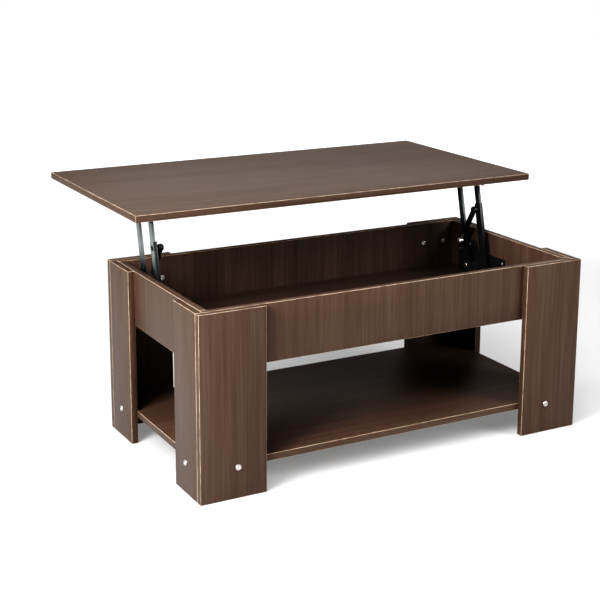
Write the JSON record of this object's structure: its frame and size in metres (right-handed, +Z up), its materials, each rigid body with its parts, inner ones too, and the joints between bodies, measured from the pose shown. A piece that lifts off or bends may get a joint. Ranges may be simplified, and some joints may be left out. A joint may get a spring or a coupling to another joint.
{
  "type": "lift top coffee table",
  "caption": "Low rectangular coffee table in dark wood effect board, with L-shaped board legs, a lower shelf and a top that lifts and slides over a storage box on parallel steel arms.",
  "frame": {"origin": "middle of the bottom of the bounding box with the top raised, on the floor", "axes": "+X along the table's long side, to the right seen from the front, +Y to the rear long side, which the rising top moves over, +Z up"},
  "size_m": [1, 0.7769, 0.547],
  "materials": {
    "laminate": "satin dark brown wood-grain laminate on 15 mm board, with thin pale lines at the edges",
    "black_steel": "semi-gloss black paint",
    "bright_steel": "bright nickel plating",
    "rubber": "matt black rubber"
  },
  "bodies": {
    "base": {"leg_front_left_face": "laminate", "leg_front_left_side": "laminate", "leg_front_right_face": "laminate", "leg_front_right_side": "laminate", "leg_rear_left_face": "laminate", "leg_rear_left_side": "laminate", "leg_rear_right_face": "laminate", "leg_rear_right_side": "laminate", "apron_front": "laminate", "apron_rear": "laminate", "apron_left": "laminate", "apron_right": "laminate", "compartment_floor": "laminate", "lower_shelf": "laminate", "shelf_bolt_front_left_face": "bright_steel", "shelf_bolt_front_left_side": "bright_steel", "apron_bolt_front_left_1": "bright_steel", "apron_bolt_front_left_2": "bright_steel", "shelf_bolt_front_right_face": "bright_steel", "shelf_bolt_front_right_side": "bright_steel", "apron_bolt_front_right_1": "bright_steel", "apron_bolt_front_right_2": "bright_steel", "shelf_bolt_rear_left_face": "bright_steel", "shelf_bolt_rear_left_side": "bright_steel", "apron_bolt_rear_left_1": "bright_steel", "apron_bolt_rear_left_2": "bright_steel", "shelf_bolt_rear_right_face": "bright_steel", "shelf_bolt_rear_right_side": "bright_steel", "apron_bolt_rear_right_1": "bright_steel", "apron_bolt_rear_right_2": "bright_steel", "base_bracket_left": "black_steel", "front_lower_pin_left": "bright_steel", "rear_lower_pin_left": "bright_steel", "arm_stop_left": "rubber", "base_bracket_right": "black_steel", "front_lower_pin_right": "bright_steel", "rear_lower_pin_right": "bright_steel", "arm_stop_right": "rubber"},
    "top": {"table_top": "laminate", "top_rail_left": "black_steel", "front_upper_pin_left": "bright_steel", "rear_upper_pin_left": "bright_steel", "top_rail_right": "black_steel", "front_upper_pin_right": "bright_steel", "rear_upper_pin_right": "bright_steel"},
    "front_arm_left": {"front_arm_left": "black_steel", "arm_sleeve_left": "black_steel", "strut_upper_pin_left": "bright_steel"},
    "rear_arm_left": {"rear_arm_left": "black_steel", "strut_lower_pin_left": "bright_steel"},
    "strut_tube_left": {"strut_tube_left": "black_steel"},
    "strut_rod_left": {"strut_rod_left": "bright_steel"},
    "front_arm_right": {"front_arm_right": "black_steel", "arm_sleeve_right": "black_steel", "strut_upper_pin_right": "bright_steel"},
    "rear_arm_right": {"rear_arm_right": "black_steel", "strut_lower_pin_right": "bright_steel"},
    "strut_tube_right": {"strut_tube_right": "black_steel"},
    "strut_rod_right": {"strut_rod_right": "bright_steel"}
  },
  "joints": [
    {"name": "lift", "type": "hinge", "parent": "base", "child": "front_arm_right", "pos_m": [0, -0.09362, 0.303], "axis": [1, 0, 0], "range_deg": [0, 82.35]},
    {"name": "lift_front_left", "type": "hinge", "parent": "base", "child": "front_arm_left", "pos_m": [0, -0.09362, 0.303], "axis": [1, 0, 0], "range_deg": [0, 82.36]},
    {"name": "lift_rear_right", "type": "hinge", "parent": "base", "child": "rear_arm_right", "pos_m": [0, -0.01962, 0.303], "axis": [1, 0, 0], "range_deg": [0, 82.36]},
    {"name": "lift_rear_left", "type": "hinge", "parent": "base", "child": "rear_arm_left", "pos_m": [0, -0.01962, 0.303], "axis": [1, 0, 0], "range_deg": [0, 82.36]},
    {"name": "top_level", "type": "hinge", "parent": "front_arm_right", "child": "top", "pos_m": [0, -0.04152, 0.52], "axis": [1, 0, 0], "range_deg": [-82.36, 0]},
    {"name": "strut_tube_turn_left", "type": "hinge", "parent": "front_arm_left", "child": "strut_tube_left", "pos_m": [0, -0.05814, 0.4508], "axis": [1, 0, 0], "range_deg": [-35, 0]},
    {"name": "strut_rod_turn_left", "type": "hinge", "parent": "rear_arm_left", "child": "strut_rod_left", "pos_m": [0, -0.00538, 0.36231], "axis": [1, 0, 0], "range_deg": [-35, 0]},
    {"name": "strut_tube_turn_right", "type": "hinge", "parent": "front_arm_right", "child": "strut_tube_right", "pos_m": [0, -0.05814, 0.4508], "axis": [1, 0, 0], "range_deg": [-35, 0]},
    {"name": "strut_rod_turn_right", "type": "hinge", "parent": "rear_arm_right", "child": "strut_rod_right", "pos_m": [0, -0.00538, 0.36231], "axis": [1, 0, 0], "range_deg": [-35, 0]}
  ],
  "couplings": [
    {"joint": "lift_front_left", "follows": "lift", "ratio": 1},
    {"joint": "lift_rear_right", "follows": "lift", "ratio": 1},
    {"joint": "lift_rear_left", "follows": "lift", "ratio": 1},
    {"joint": "top_level", "follows": "lift", "ratio": -1},
    {"joint": "strut_tube_turn_left", "follows": "lift", "ratio": -0.42296},
    {"joint": "strut_rod_turn_left", "follows": "lift", "ratio": -0.42296},
    {"joint": "strut_tube_turn_right", "follows": "lift", "ratio": -0.42296},
    {"joint": "strut_rod_turn_right", "follows": "lift", "ratio": -0.42296}
  ]
}
